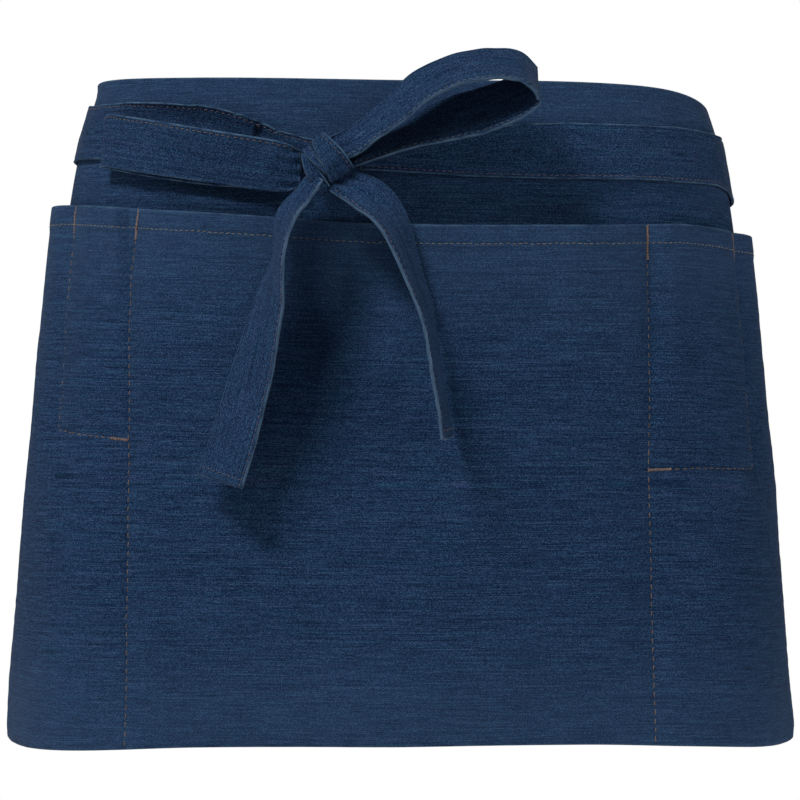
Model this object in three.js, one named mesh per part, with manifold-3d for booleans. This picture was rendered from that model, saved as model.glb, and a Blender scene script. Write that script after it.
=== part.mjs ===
// A short denim waist apron, as it is worn: a panel wrapped round the front and sides of the waist, a pocket
// layer sewn over its lower part, and two ties that cross at the back and are tied in a bow in front.
// Millimetres. +X is to the viewer's right, +Y to the wearer's back and +Z up. The origin is the middle of
// the waist that the ties go round, at their height.
import * as THREE from "three";
import { mergeVertices } from "three/addons/utils/BufferGeometryUtils.js";
import Module from "manifold-3d";

// The waist and hips, to the outer face of the panel. The outline is a superellipse: 2 is a plain ellipse.
const waistHalfWidth = 160;
const waistHalfDepth = 110;
const outlinePower = 2.5;

// The cloth of the panel and its pocket layer. Rise and drop are measured from the height of the ties.
const panelWidth = 600;
const panelRise = 26;
const panelDrop = 287;
const clothThickness = 1.2;
const pocketHeight = 246;
const mouthHem = 8;
const mouthHemThickness = 1.8;
const pocketStand = 9;
const edgeSway = 10;

// The sewn compartments: distances along the cloth from the middle of the front, and depths below the mouth.
const centrePocketLeft = 131;
const centrePocketRight = 122;
const leftPocketWidth = 46;
const leftPocketDepth = 110;
const rightPocketWidth = 67;
const rightPocketDepth = 116;
const seamPinch = 12;

// The ties and the bow.
const tieWidth = 27;
const tieThickness = 2.4;
const loopLength = 100;
const flatLoopReach = 157;
const leftTailDrop = 148;
const rightTailDrop = 128;
const knotSide = 34.5;
const knotBelow = 15;
const knotHalfLength = 11;
const knotHalfWidth = 11.5;
const knotHalfDepth = 9.5;

// Folds and waves of the cloth, and the space left between pieces that touch.
const foldHeight = 4;
const waveHeight = 2.5;
const waveLength = 150;
const clearance = 0.4;

const halfPanel = panelWidth / 2;
const panelHeight = panelRise + panelDrop;
const { clamp, degToRad, lerp } = THREE.MathUtils;

// Outline of the body at levels down the panel: half width, half depth and backward shift.
const bodySections = [
  { down: 0.0, width: 0.94, depth: 0.98, back: 0.0 },
  { down: 0.08, width: 0.99, depth: 1.0, back: 0.0 },
  { down: 0.18, width: 1.028, depth: 1.035, back: 0.01 },
  { down: 0.37, width: 1.076, depth: 1.09, back: 0.027 },
  { down: 0.64, width: 1.139, depth: 1.13, back: 0.036 },
  { down: 1.0, width: 1.212, depth: 1.18, back: 0.055 },
];

// Height of the three long edges above their nominal level, in shares of edgeSway, across half the panel.
const edgeRows = [
  { across: -1.0, top: -0.2, mouth: 0.9, hem: -0.4 },
  { across: -0.83, top: 0.1, mouth: 1.15, hem: -0.7 },
  { across: -0.6, top: 0.35, mouth: 1.1, hem: -0.6 },
  { across: -0.33, top: 0.25, mouth: 0.5, hem: -0.15 },
  { across: 0.0, top: 0.0, mouth: -0.15, hem: 0.0 },
  { across: 0.3, top: 0.0, mouth: -0.15, hem: 0.0 },
  { across: 0.47, top: -0.15, mouth: 0.0, hem: -0.2 },
  { across: 0.65, top: -0.75, mouth: -0.25, hem: -0.55 },
  { across: 0.83, top: -1.25, mouth: -0.3, hem: -0.7 },
  { across: 1.0, top: -1.3, mouth: -0.3, hem: -0.6 },
];

// Folds and dents: centre and half sizes in shares of half the panel and of its height, height of foldHeight.
const folds = [
  { across: -0.28, down: 0.182, long: 0.13, wide: 0.012, tilt: -8, height: 0.6 },
  { across: -0.27, down: 0.158, long: 0.12, wide: 0.012, tilt: -8, height: -0.5 },
  { across: 0.27, down: 0.183, long: 0.12, wide: 0.016, tilt: -3, height: -0.8 },
  { across: 0.52, down: 0.19, long: 0.09, wide: 0.014, tilt: -4, height: 0.4 },
  { across: -0.085, down: 0.29, long: 0.075, wide: 0.1, tilt: 0, height: -1.1 },
  { across: -0.077, down: 0.47, long: 0.04, wide: 0.045, tilt: 0, height: -0.5 },
  { across: 0.005, down: 0.48, long: 0.03, wide: 0.05, tilt: 0, height: -0.4 },
  { across: 0.19, down: 0.37, long: 0.05, wide: 0.05, tilt: 0, height: -0.45 },
  { across: 0.32, down: 0.33, long: 0.04, wide: 0.04, tilt: 0, height: -0.3 },
];

// The ties on the body. Round goes from the front (0) past one side to the back (1) and on to the front (2).
// Edges are in shares of the tie's width above the height of the ties, lift in shares of its thickness.
const leftBandRows = [
  { round: 0.62, upper: 0.5, lower: -0.5, lift: -1.95 },
  { round: 0.69, upper: 0.6, lower: -0.4, lift: -1.85 },
  { round: 0.75, upper: 1.05, lower: 0.05, lift: -1.4 },
  { round: 0.8, upper: 1.06, lower: 0.06, lift: -0.2 },
  { round: 0.86, upper: 1.04, lower: 0.04, lift: 1.3 },
  { round: 0.93, upper: 0.8, lower: -0.2, lift: 1.4 },
  { round: 1.0, upper: 0.5, lower: -0.5, lift: 1.4 },
  { round: 1.1, upper: 0.3, lower: -0.7, lift: 1.3 },
  { round: 1.2, upper: 0.3, lower: -0.7, lift: 0.8 },
  { round: 1.33, upper: 0.62, lower: -0.38, lift: 0.17 },
  { round: 1.5, upper: 0.78, lower: -0.28, lift: 0.17 },
  { round: 1.62, upper: 0.67, lower: -0.3, lift: 0.17 },
  { round: 1.73, upper: 0.59, lower: -0.42, lift: 0.17 },
  { round: 1.81, upper: 0.43, lower: -0.58, lift: 0.17 },
  { round: 1.87, upper: 0.07, lower: -0.8, lift: 0.17 },
  { round: 1.945, upper: -0.25, lower: -0.83, lift: 0.17 },
];
const rightBandRows = [
  { round: 0.62, upper: 0.8, lower: -0.2, lift: -1.95 },
  { round: 0.69, upper: 0.82, lower: -0.18, lift: -1.85 },
  { round: 0.8, upper: 0.9, lower: -0.1, lift: -1.0 },
  { round: 0.9, upper: 0.75, lower: -0.25, lift: -0.3 },
  { round: 1.0, upper: 0.5, lower: -0.5, lift: 0.05 },
  { round: 1.1, upper: 0.1, lower: -0.9, lift: 0.05 },
  { round: 1.15, upper: -0.04, lower: -1.04, lift: 0.1 },
  { round: 1.25, upper: -0.05, lower: -1.05, lift: 0.17 },
  { round: 1.33, upper: 0.03, lower: -0.97, lift: 0.17 },
  { round: 1.5, upper: 0.19, lower: -1.04, lift: 0.17 },
  { round: 1.6, upper: 0.18, lower: -0.8, lift: 0.17 },
  { round: 1.69, upper: 0.22, lower: -0.76, lift: 0.17 },
  { round: 1.82, upper: 0.22, lower: -0.76, lift: 0.17 },
  { round: 1.91, upper: 0.12, lower: -0.75, lift: 0.17 },
  { round: 1.98, upper: -0.1, lower: -0.68, lift: 0.17 },
  { round: 2.045, upper: -0.22, lower: -0.62, lift: 0.17 },
];

// Front edge of the standing loop, from the knot and back to it: out and up in shares of its length, fore of
// the tie's width. Lean and rise are the sideways and upward parts of the direction of its width.
const loopRows = [
  { along: 0.0, out: 0.06, up: 0.04, fore: 0.2, lean: -0.36, rise: 0.75, full: 0.5 },
  { along: 0.09, out: 0.15, up: 0.055, fore: 0.25, lean: -0.38, rise: 0.68, full: 0.6 },
  { along: 0.17, out: 0.25, up: 0.125, fore: 0.38, lean: -0.42, rise: 0.52, full: 0.66 },
  { along: 0.25, out: 0.36, up: 0.195, fore: 0.5, lean: -0.36, rise: 0.52, full: 0.8 },
  { along: 0.33, out: 0.47, up: 0.275, fore: 0.6, lean: -0.26, rise: 0.53, full: 0.94 },
  { along: 0.41, out: 0.61, up: 0.338, fore: 0.6, lean: -0.1, rise: 0.52, full: 1.0 },
  { along: 0.49, out: 0.75, up: 0.382, fore: 0.6, lean: -0.03, rise: 0.52, full: 1.0 },
  { along: 0.555, out: 0.88, up: 0.389, fore: 0.6, lean: -0.08, rise: 0.5, full: 1.0 },
  { along: 0.6, out: 0.955, up: 0.368, fore: 0.6, lean: -0.18, rise: 0.46, full: 1.0 },
  { along: 0.633, out: 0.99, up: 0.325, fore: 0.6, lean: -0.22, rise: 0.42, full: 1.0 },
  { along: 0.667, out: 0.98, up: 0.272, fore: 0.6, lean: -0.2, rise: 0.48, full: 1.0 },
  { along: 0.71, out: 0.9, up: 0.204, fore: 0.6, lean: -0.15, rise: 0.62, full: 1.0 },
  { along: 0.78, out: 0.75, up: 0.144, fore: 0.6, lean: -0.12, rise: 0.72, full: 1.0 },
  { along: 0.85, out: 0.6, up: 0.109, fore: 0.58, lean: -0.12, rise: 0.74, full: 1.0 },
  { along: 0.91, out: 0.44, up: 0.077, fore: 0.42, lean: -0.14, rise: 0.72, full: 0.9 },
  { along: 0.96, out: 0.26, up: 0.03, fore: 0.15, lean: -0.3, rise: 0.7, full: 0.65 },
  { along: 1.0, out: 0.1, up: -0.02, fore: -0.05, lean: -0.45, rise: 0.7, full: 0.38 },
];

// The flat loop lies on the left band: out along it, a turn, and back on top. Reach is a share of its reach
// from the middle of the front, middle of the tie's width, lift of the tie's thickness.
const flatLoopRows = [
  { along: 0.0, reach: 0.29, middle: -0.55, lift: 1.95, full: 0.55 },
  { along: 0.16, reach: 0.5, middle: -0.36, lift: 1.95, full: 0.85 },
  { along: 0.34, reach: 0.75, middle: -0.16, lift: 2.05, full: 0.95 },
  { along: 0.485, reach: 0.975, middle: 0.02, lift: 2.3, full: 0.95 },
  { along: 0.5, reach: 1.0, middle: 0.0, lift: 2.95, full: 0.95 },
  { along: 0.515, reach: 0.975, middle: 0.0, lift: 3.65, full: 0.95 },
  { along: 0.64, reach: 0.78, middle: -0.2, lift: 4.5, full: 0.95 },
  { along: 0.78, reach: 0.55, middle: -0.42, lift: 4.6, full: 0.92 },
  { along: 0.92, reach: 0.38, middle: -0.6, lift: 3.7, full: 0.75 },
  { along: 1.0, reach: 0.29, middle: -0.6, lift: 3.2, full: 0.5 },
];

// The hanging tails from the knot: out and down in shares of the drop, fore of the tie's width, and turn, the
// angle between the strap's width and the picture, with the front edge towards the other tail.
const leftTailRows = [
  { along: 0.0, out: -0.03, down: 0.045, fore: 0.14, turn: 62, full: 0.5 },
  { along: 0.08, out: -0.07, down: 0.1, fore: 0.27, turn: 64, full: 0.75 },
  { along: 0.17, out: -0.115, down: 0.165, fore: 0.42, turn: 68, full: 0.95 },
  { along: 0.28, out: -0.14, down: 0.28, fore: 0.52, turn: 77, full: 1.0 },
  { along: 0.43, out: -0.17, down: 0.435, fore: 0.54, turn: 60, full: 1.0 },
  { along: 0.62, out: -0.216, down: 0.624, fore: 0.5, turn: 45, full: 1.0 },
  { along: 0.8, out: -0.267, down: 0.81, fore: 0.47, turn: 38, full: 1.0 },
  { along: 1.0, out: -0.326, down: 1.0, fore: 0.46, turn: 33, full: 1.0 },
];
const rightTailRows = [
  { along: 0.0, out: 0.035, down: 0.055, fore: 0.05, turn: 25, full: 0.45 },
  { along: 0.1, out: 0.15, down: 0.105, fore: 0.3, turn: 38, full: 0.8 },
  { along: 0.2, out: 0.237, down: 0.195, fore: 0.52, turn: 55, full: 0.97 },
  { along: 0.33, out: 0.305, down: 0.355, fore: 0.66, turn: 69, full: 1.0 },
  { along: 0.5, out: 0.37, down: 0.54, fore: 0.74, turn: 75, full: 1.0 },
  { along: 0.65, out: 0.397, down: 0.69, fore: 0.76, turn: 81, full: 1.0 },
  { along: 0.83, out: 0.427, down: 0.87, fore: 0.76, turn: 80, full: 1.0 },
  { along: 1.0, out: 0.452, down: 1.0, fore: 0.76, turn: 77, full: 1.0 },
];

// The knot along its axis: a narrow wrap at its lower left and a wide one at its upper right.
const knotRows = [
  { along: -1.0, across: 0.45, deep: 0.5 },
  { along: -0.93, across: 0.66, deep: 0.7 },
  { along: -0.8, across: 0.76, deep: 0.8 },
  { along: -0.1, across: 0.8, deep: 0.85 },
  { along: 0.0, across: 0.86, deep: 0.9 },
  { along: 0.08, across: 0.98, deep: 0.98 },
  { along: 0.2, across: 1.0, deep: 1.0 },
  { along: 0.75, across: 1.0, deep: 1.0 },
  { along: 0.9, across: 0.93, deep: 0.95 },
  { along: 1.0, across: 0.7, deep: 0.75 },
];
const knotAxis = new THREE.Vector3(0.75, 0, 0.66).normalize();
const knotSideways = new THREE.Vector3(knotAxis.z, 0, -knotAxis.x);
const backward = new THREE.Vector3(0, 1, 0);

// Every column of a table at one place between its rows, on smooth curves through the rows.
function between(rows, key, at) {
  const place = clamp(at, rows[0][key], rows.at(-1)[key]);
  let i = rows.findIndex((row) => row[key] >= place);
  i = Math.max(i, 1);
  const [a, b] = [rows[i - 1], rows[i]];
  const [before, after] = [rows[i - 2] ?? a, rows[i + 1] ?? b];
  const step = b[key] - a[key];
  const t = (place - a[key]) / step;
  const found = {};
  for (const name of Object.keys(a)) {
    const slopeA = ((b[name] - before[name]) / (b[key] - before[key])) * step;
    const slopeB = ((after[name] - a[name]) / (after[key] - a[key])) * step;
    found[name] =
      (1 + 2 * t) * (1 - t) ** 2 * a[name] +
      t * (1 - t) ** 2 * slopeA +
      t * t * (3 - 2 * t) * b[name] +
      t * t * (t - 1) * slopeB;
  }
  return found;
}

// Half of the body's outline at one height, from the middle of the front to the middle of the back, as points
// with their distance along it.
const outlineSteps = 240;
function outlineAt(z) {
  const row = between(bodySections, "down", (panelRise - z) / panelHeight);
  const points = [];
  for (let i = 0; i <= outlineSteps; i++) {
    const angle = (Math.PI * i) / outlineSteps;
    const [sine, cosine] = [Math.sin(angle), Math.cos(angle)];
    const x = waistHalfWidth * row.width * Math.abs(sine) ** (2 / outlinePower);
    const reach = Math.sign(cosine) * Math.abs(cosine) ** (2 / outlinePower);
    const y = waistHalfDepth * (row.back - row.depth * reach);
    const last = points.at(-1);
    const s = last ? last.s + Math.hypot(x - last.x, y - last.y) : 0;
    points.push({ x, y, s });
  }
  return points;
}

// Outlines are kept for even levels, and a height between two levels takes the point between them.
const levelStep = 4;
const outlines = new Map();
function outlineOfLevel(level) {
  if (!outlines.has(level)) outlines.set(level, outlineAt(level * levelStep));
  return outlines.get(level);
}
function pointOfLevel(level, s) {
  const points = outlineOfLevel(level);
  const length = points.at(-1).s;
  const wrapped = ((((s + length) % (2 * length)) + 2 * length) % (2 * length)) - length;
  const far = Math.abs(wrapped);
  let i = points.findIndex((p) => p.s >= far);
  i = clamp(i, 1, outlineSteps);
  const [a, b] = [points[i - 1], points[i]];
  const t = (far - a.s) / (b.s - a.s);
  return new THREE.Vector2(lerp(a.x, b.x, t) * (wrapped < 0 ? -1 : 1), lerp(a.y, b.y, t));
}
function outlinePoint(s, z) {
  const level = Math.floor(z / levelStep);
  const t = z / levelStep - level;
  return pointOfLevel(level, s).lerp(pointOfLevel(level + 1, s), t);
}
function halfOutline(z) {
  return outlineOfLevel(Math.round(z / levelStep)).at(-1).s;
}

// How far the folds, dents and waves of the cloth lift it off the body.
function relief(s, z) {
  const down = (panelRise - z) / panelHeight;
  const across = s / halfPanel;
  let height = waveHeight * clamp(down, 0, 1) ** 2 * Math.cos((2 * Math.PI * s) / waveLength);
  for (const fold of folds) {
    const tilt = degToRad(fold.tilt);
    const dx = across - fold.across;
    const dz = ((fold.down - down) * panelHeight) / halfPanel;
    const along = (dx * Math.cos(tilt) + dz * Math.sin(tilt)) / fold.long;
    const beside = (dz * Math.cos(tilt) - dx * Math.sin(tilt)) / ((fold.wide * panelHeight) / halfPanel);
    height += foldHeight * fold.height * Math.exp(-along * along - beside * beside);
  }
  return height;
}

// A point off the body's surface: s along the outline from the middle of the front, z up, and off outwards.
const normalStep = 2;
function bodyPoint(s, z, off) {
  const here = outlinePoint(s, z);
  const along = outlinePoint(s + normalStep, z).sub(outlinePoint(s - normalStep, z)).normalize();
  return new THREE.Vector3(here.x + along.y * off, here.y - along.x * off, z);
}
function clothPoint(s, z, off) {
  return bodyPoint(s, z, off + relief(s, z));
}

// Heights of the three long edges of the cloth.
function edgesAt(s) {
  const row = between(edgeRows, "across", s / halfPanel);
  return {
    top: panelRise + edgeSway * row.top,
    mouth: pocketHeight - panelDrop + edgeSway * row.mouth,
    hem: edgeSway * row.hem - panelDrop,
  };
}

// A closed mesh through rings of points, all with the same even number of points. The ends are closed by
// pairing each ring's first point with its last, its second with the one before, and so on.
function loft(rings) {
  const count = rings[0].length;
  const positions = rings.flat().flatMap((p) => [p.x, p.y, p.z]);
  const index = [];
  const quad = (a, b, c, d) => index.push(a, b, c, a, c, d);
  for (let i = 0; i + 1 < rings.length; i++) {
    for (let j = 0; j < count; j++) {
      const k = (j + 1) % count;
      quad(i * count + j, (i + 1) * count + j, (i + 1) * count + k, i * count + k);
    }
  }
  const last = (rings.length - 1) * count;
  for (let j = 0; j + 1 < count / 2; j++) {
    quad(j, j + 1, count - 2 - j, count - 1 - j);
    quad(last + j, last + count - 1 - j, last + count - 2 - j, last + j + 1);
  }
  const geometry = new THREE.BufferGeometry();
  geometry.setAttribute("position", new THREE.Float32BufferAttribute(positions, 3));
  geometry.setIndex(index);
  if (volumeOf(geometry) < 0) {
    for (let i = 0; i < index.length; i += 3) [index[i + 1], index[i + 2]] = [index[i + 2], index[i + 1]];
    geometry.setIndex(index);
  }
  return geometry;
}
function volumeOf(geometry) {
  const at = geometry.getAttribute("position");
  const index = geometry.getIndex().array;
  const [a, b, c] = [new THREE.Vector3(), new THREE.Vector3(), new THREE.Vector3()];
  let volume = 0;
  for (let i = 0; i < index.length; i += 3) {
    a.fromBufferAttribute(at, index[i]);
    b.fromBufferAttribute(at, index[i + 1]);
    c.fromBufferAttribute(at, index[i + 2]);
    volume += a.dot(b.cross(c)) / 6;
  }
  return volume;
}

// Places across the cloth for both layers: even ones, and a few close beside each seam.
const columnStep = 16;
const seamStep = 6;
function columnsBeside(seams) {
  const even = Math.ceil(panelWidth / columnStep);
  const wanted = seams.flatMap((s) => [s - seamStep, s, s + seamStep]);
  const kept = [-halfPanel, ...wanted.sort((a, b) => a - b), halfPanel];
  for (let i = 1; i < even; i++) {
    const s = lerp(-halfPanel, halfPanel, i / even);
    if (kept.every((other) => Math.abs(other - s) > seamStep)) kept.push(s);
  }
  return kept.sort((a, b) => a - b);
}
const leftPocketEdge = -centrePocketLeft - leftPocketWidth;
const rightPocketEdge = centrePocketRight + rightPocketWidth;
const columns = columnsBeside([-centrePocketLeft, centrePocketRight, leftPocketEdge, rightPocketEdge]);

// Places down the cloth, as shares from the top edge to the mouth of the pocket and from there to the hem.
const rowsAbove = [0, 0.15, 0.38, 0.6, 0.72, 0.82, 0.91];
const hemShare = mouthHem / pocketHeight;
const leftBottom = leftPocketDepth / pocketHeight;
const rightBottom = rightPocketDepth / pocketHeight;
const beside = (2 * seamStep) / pocketHeight;
const rowsBelow = [0, hemShare, hemShare * 1.1, 0.12, 0.22, 0.33, leftBottom - beside, leftBottom];
rowsBelow.push(rightBottom, rightBottom + beside, 0.64, 0.78, 0.91, 1);

// The panel: one layer of cloth from the top edge to the hem.
function panelGeometry() {
  const rings = columns.map((s) => {
    const { top, mouth, hem } = edgesAt(s);
    const heights = rowsAbove.map((share) => lerp(top, mouth, share));
    heights.push(...rowsBelow.map((share) => lerp(mouth, hem, share)));
    const side = (off) => heights.map((z) => clothPoint(s, z, off));
    return [...side(0), ...side(-clothThickness).reverse()];
  });
  return loft(rings);
}

// The stitched lines that hold the pocket layer to the panel. Each end is a distance along the cloth and a
// depth below the mouth.
const seams = [
  { from: [-centrePocketLeft, 0], to: [-centrePocketLeft, pocketHeight] },
  { from: [centrePocketRight, 0], to: [centrePocketRight, pocketHeight] },
  { from: [leftPocketEdge, 0], to: [leftPocketEdge, leftPocketDepth] },
  { from: [rightPocketEdge, 0], to: [rightPocketEdge, rightPocketDepth] },
  { from: [leftPocketEdge, leftPocketDepth], to: [-centrePocketLeft, leftPocketDepth] },
  { from: [centrePocketRight, rightPocketDepth], to: [rightPocketEdge, rightPocketDepth] },
  { from: [-halfPanel, 0], to: [-halfPanel, pocketHeight] },
  { from: [halfPanel, 0], to: [halfPanel, pocketHeight] },
  { from: [-halfPanel, pocketHeight], to: [halfPanel, pocketHeight] },
];
function distanceTo(seam, s, below) {
  const [fromS, fromBelow] = seam.from;
  const [ds, db] = [seam.to[0] - fromS, seam.to[1] - fromBelow];
  const t = clamp(((s - fromS) * ds + (below - fromBelow) * db) / (ds * ds + db * db), 0, 1);
  return Math.hypot(s - fromS - t * ds, below - fromBelow - t * db);
}

// How far the pocket layer stands off the panel: most at the mouth, and down to the clearance at each seam.
const standAtHem = 0.25;
function pocketStandAt(s, share) {
  const below = share * pocketHeight;
  let stand = pocketStand * lerp(1, standAtHem, share);
  for (const seam of seams) stand *= 1 - Math.exp(-distanceTo(seam, s, below) / seamPinch);
  return clearance + stand;
}

// The pocket layer: one layer of cloth, doubled in the hem at its mouth.
function pocketGeometry() {
  const rings = columns.map((s) => {
    const { mouth, hem } = edgesAt(s);
    const side = (outer) =>
      rowsBelow.map((share) => {
        const thickness = share <= hemShare ? mouthHemThickness : clothThickness;
        return clothPoint(s, lerp(mouth, hem, share), pocketStandAt(s, share) + (outer ? thickness : 0));
      });
    return [...side(true), ...side(false).reverse()];
  });
  return loft(rings);
}

// A tie on the body, from its sewn root inside the panel's corner, round the back to the knot. Side is 1 for
// the tie that goes from the right corner over the left front, and -1 for the other.
const bandSteps = 62;
const acrossBand = [1, 0.5, 0];
function bandGeometry(rows, side) {
  const [start, end] = [rows[0].round, rows.at(-1).round];
  const rings = [];
  for (let i = 0; i <= bandSteps; i++) {
    const row = between(rows, "round", lerp(start, end, i / bandSteps));
    const face = (off) =>
      acrossBand.map((share) => {
        const z = tieWidth * lerp(row.lower, row.upper, share);
        return bodyPoint(side * row.round * halfOutline(z), z, off);
      });
    const inner = row.lift * tieThickness;
    rings.push([...face(inner + tieThickness), ...face(inner).reverse()]);
  }
  return loft(rings);
}

// A free strap through stations, each with a centre, the direction of its width and a share of the full
// width. Grow widens and thickens it, for the slot that it needs where it goes into the knot.
function strapGeometry(stations, grow = 0) {
  const rings = stations.map(({ centre, across, full }, i) => {
    const before = stations[Math.max(i - 1, 0)].centre;
    const after = stations[Math.min(i + 1, stations.length - 1)].centre;
    const along = after.clone().sub(before).normalize();
    const width = across.clone().addScaledVector(along, -across.dot(along)).normalize();
    const out = along.cross(width).multiplyScalar(tieThickness / 2 + grow);
    width.multiplyScalar((tieWidth * full) / 2 + grow);
    const corner = (a, b) => centre.clone().addScaledVector(width, a).addScaledVector(out, b);
    return [corner(-1, 1), corner(1, 1), corner(1, -1), corner(-1, -1)];
  });
  return loft(rings);
}
function stationsOf(rows, steps, place) {
  return Array.from({ length: steps + 1 }, (_, i) => place(between(rows, "along", i / steps)));
}

// The middle of the knot, in front of the bands that pass behind it.
const knotRoot = bodyPoint(-knotSide, -knotBelow, tieThickness + 2 * clearance + knotHalfDepth);
const fromKnot = (x, fore, z) => knotRoot.clone().add(new THREE.Vector3(x, -fore, z));

const loopSteps = 44;
const loopStations = stationsOf(loopRows, loopSteps, (row) => {
  const across = new THREE.Vector3(row.lean, Math.sqrt(1 - row.lean ** 2 - row.rise ** 2), row.rise);
  const edge = fromKnot(loopLength * row.out, tieWidth * row.fore, loopLength * row.up);
  return { centre: edge.addScaledVector(across, (tieWidth * row.full) / 2), across, full: row.full };
});

const flatLoopSteps = 60;
const flatLoopStations = stationsOf(flatLoopRows, flatLoopSteps, (row) => {
  const edge = (share) =>
    bodyPoint(-flatLoopReach * row.reach, tieWidth * (row.middle + share), tieThickness * row.lift);
  const [upper, lower] = [edge(row.full / 2), edge(-row.full / 2)];
  return { centre: upper.clone().lerp(lower, 0.5), across: upper.sub(lower), full: row.full };
});

// A tail's width starts in the picture, square to the way that the tail runs, and turns backwards.
const tailSteps = 22;
function tailStations(rows, drop, side) {
  const middle = (row) => fromKnot(drop * row.out, tieWidth * row.fore, -drop * row.down);
  const nearby = 0.02;
  return stationsOf(rows, tailSteps, (row) => {
    const before = middle(between(rows, "along", row.along - nearby));
    const after = middle(between(rows, "along", row.along + nearby));
    const flat = after.sub(before).cross(backward).normalize();
    const turn = degToRad(row.turn);
    const across = flat.multiplyScalar(side * Math.cos(turn)).addScaledVector(backward, Math.sin(turn));
    return { centre: middle(row), across, full: row.full };
  });
}
const leftTailStations = tailStations(leftTailRows, leftTailDrop, -1);
const rightTailStations = tailStations(rightTailRows, rightTailDrop, 1);

// Closed meshes become solids for cutting, and come back as meshes.
const wasm = await Module();
wasm.setup();
function solidOf(geometry) {
  const merged = mergeVertices(geometry, 1e-4);
  const vertProperties = new Float32Array(merged.getAttribute("position").array);
  const triVerts = new Uint32Array(merged.getIndex().array);
  return new wasm.Manifold(new wasm.Mesh({ numProp: 3, vertProperties, triVerts }));
}
function geometryOf(solid) {
  const mesh = solid.getMesh();
  const geometry = new THREE.BufferGeometry();
  geometry.setAttribute("position", new THREE.BufferAttribute(mesh.vertProperties, 3));
  geometry.setIndex(new THREE.BufferAttribute(mesh.triVerts, 1));
  return geometry;
}

// The knot, with a slot for each strap that goes into it.
const knotSides = 16;
function knotGeometry() {
  const rings = knotRows.map((row) =>
    Array.from({ length: knotSides }, (_, i) => {
      const angle = (2 * Math.PI * (i + 0.5)) / knotSides;
      return knotRoot
        .clone()
        .addScaledVector(knotAxis, knotHalfLength * row.along)
        .addScaledVector(knotSideways, knotHalfWidth * row.across * Math.cos(angle))
        .addScaledVector(backward, knotHalfDepth * row.deep * Math.sin(angle));
    }),
  );
  let knot = solidOf(loft(rings));
  for (const stations of [loopStations, flatLoopStations, leftTailStations, rightTailStations]) {
    knot = knot.subtract(solidOf(strapGeometry(stations, clearance)));
  }
  return geometryOf(knot);
}

const denim = new THREE.MeshStandardMaterial({ color: 0x24426b, roughness: 0.9, metalness: 0 });
const strapDenim = new THREE.MeshStandardMaterial({ color: 0x2a4770, roughness: 0.9, metalness: 0 });

const apron = new THREE.Group();
function piece(name, geometry, material) {
  const mesh = new THREE.Mesh(geometry, material);
  mesh.name = name;
  apron.add(mesh);
}
piece("apron_panel", panelGeometry(), denim);
piece("pocket_panel", pocketGeometry(), denim);
piece("tie_band_left", bandGeometry(leftBandRows, 1), strapDenim);
piece("tie_band_right", bandGeometry(rightBandRows, -1), strapDenim);
piece("tie_knot", knotGeometry(), strapDenim);
piece("bow_loop", strapGeometry(loopStations), strapDenim);
piece("bow_loop_flat", strapGeometry(flatLoopStations), strapDenim);
piece("tie_tail_left", strapGeometry(leftTailStations), strapDenim);
piece("tie_tail_right", strapGeometry(rightTailStations), strapDenim);

export default apron;
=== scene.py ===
import bpy
import numpy as np
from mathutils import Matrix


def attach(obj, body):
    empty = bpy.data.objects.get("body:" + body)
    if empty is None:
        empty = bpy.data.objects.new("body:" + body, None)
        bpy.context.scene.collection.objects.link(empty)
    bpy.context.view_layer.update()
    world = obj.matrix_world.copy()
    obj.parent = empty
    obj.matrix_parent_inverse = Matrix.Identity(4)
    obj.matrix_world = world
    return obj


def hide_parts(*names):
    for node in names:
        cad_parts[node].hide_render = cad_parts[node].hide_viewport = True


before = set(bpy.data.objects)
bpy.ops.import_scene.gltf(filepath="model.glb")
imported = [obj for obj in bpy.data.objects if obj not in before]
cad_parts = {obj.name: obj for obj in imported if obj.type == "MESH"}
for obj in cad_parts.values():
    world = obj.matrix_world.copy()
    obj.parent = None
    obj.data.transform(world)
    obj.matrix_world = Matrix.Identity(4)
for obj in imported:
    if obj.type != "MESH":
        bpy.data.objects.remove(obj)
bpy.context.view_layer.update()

# The panel is one layer of slubby indigo denim, worn round the front and sides of the waist and open at the
# back. It is woven cotton twill. Its top edge and hem are clean folds, and its side edges are turned in.
MM = 0.001
waist_half_width = 160
waist_half_depth = 110
outline_power = 2.5
half_panel = 300
panel_rise = 26
panel_drop = 287
panel_height = panel_rise + panel_drop
cloth_thickness = 1.2
pocket_height = 246
edge_sway = 10
fold_height = 4
wave_height = 2.5
wave_length = 150


def table(names, *rows):
    """Columns by name, from rows in the order of the names."""
    return dict(zip(names.split(), np.array(rows, float).T))


def between(rows, at):
    """Every column of a table at places along its first one, on smooth curves through its rows."""
    keys = next(iter(rows.values()))
    place = np.clip(at, keys[0], keys[-1])
    i = np.clip(np.searchsorted(keys, place), 1, len(keys) - 1)
    before = np.maximum(i - 2, 0)
    after = np.minimum(i + 1, len(keys) - 1)
    step = keys[i] - keys[i - 1]
    t = (place - keys[i - 1]) / step
    found = {}
    for name, value in rows.items():
        slope_a = (value[i] - value[before]) / (keys[i] - keys[before]) * step
        slope_b = (value[after] - value[i - 1]) / (keys[after] - keys[i - 1]) * step
        found[name] = (
            (1 + 2 * t) * (1 - t) ** 2 * value[i - 1]
            + t * (1 - t) ** 2 * slope_a
            + t * t * (3 - 2 * t) * value[i]
            + t * t * (t - 1) * slope_b
        )
    return found


# Outline of the body at levels down the panel, in shares of the waist's half width and half depth.
body_sections = table(
    "down width depth back",
    (0.0, 0.94, 0.98, 0.0),
    (0.08, 0.99, 1.0, 0.0),
    (0.18, 1.028, 1.035, 0.01),
    (0.37, 1.076, 1.09, 0.027),
    (0.64, 1.139, 1.13, 0.036),
    (1.0, 1.212, 1.18, 0.055),
)

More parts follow.
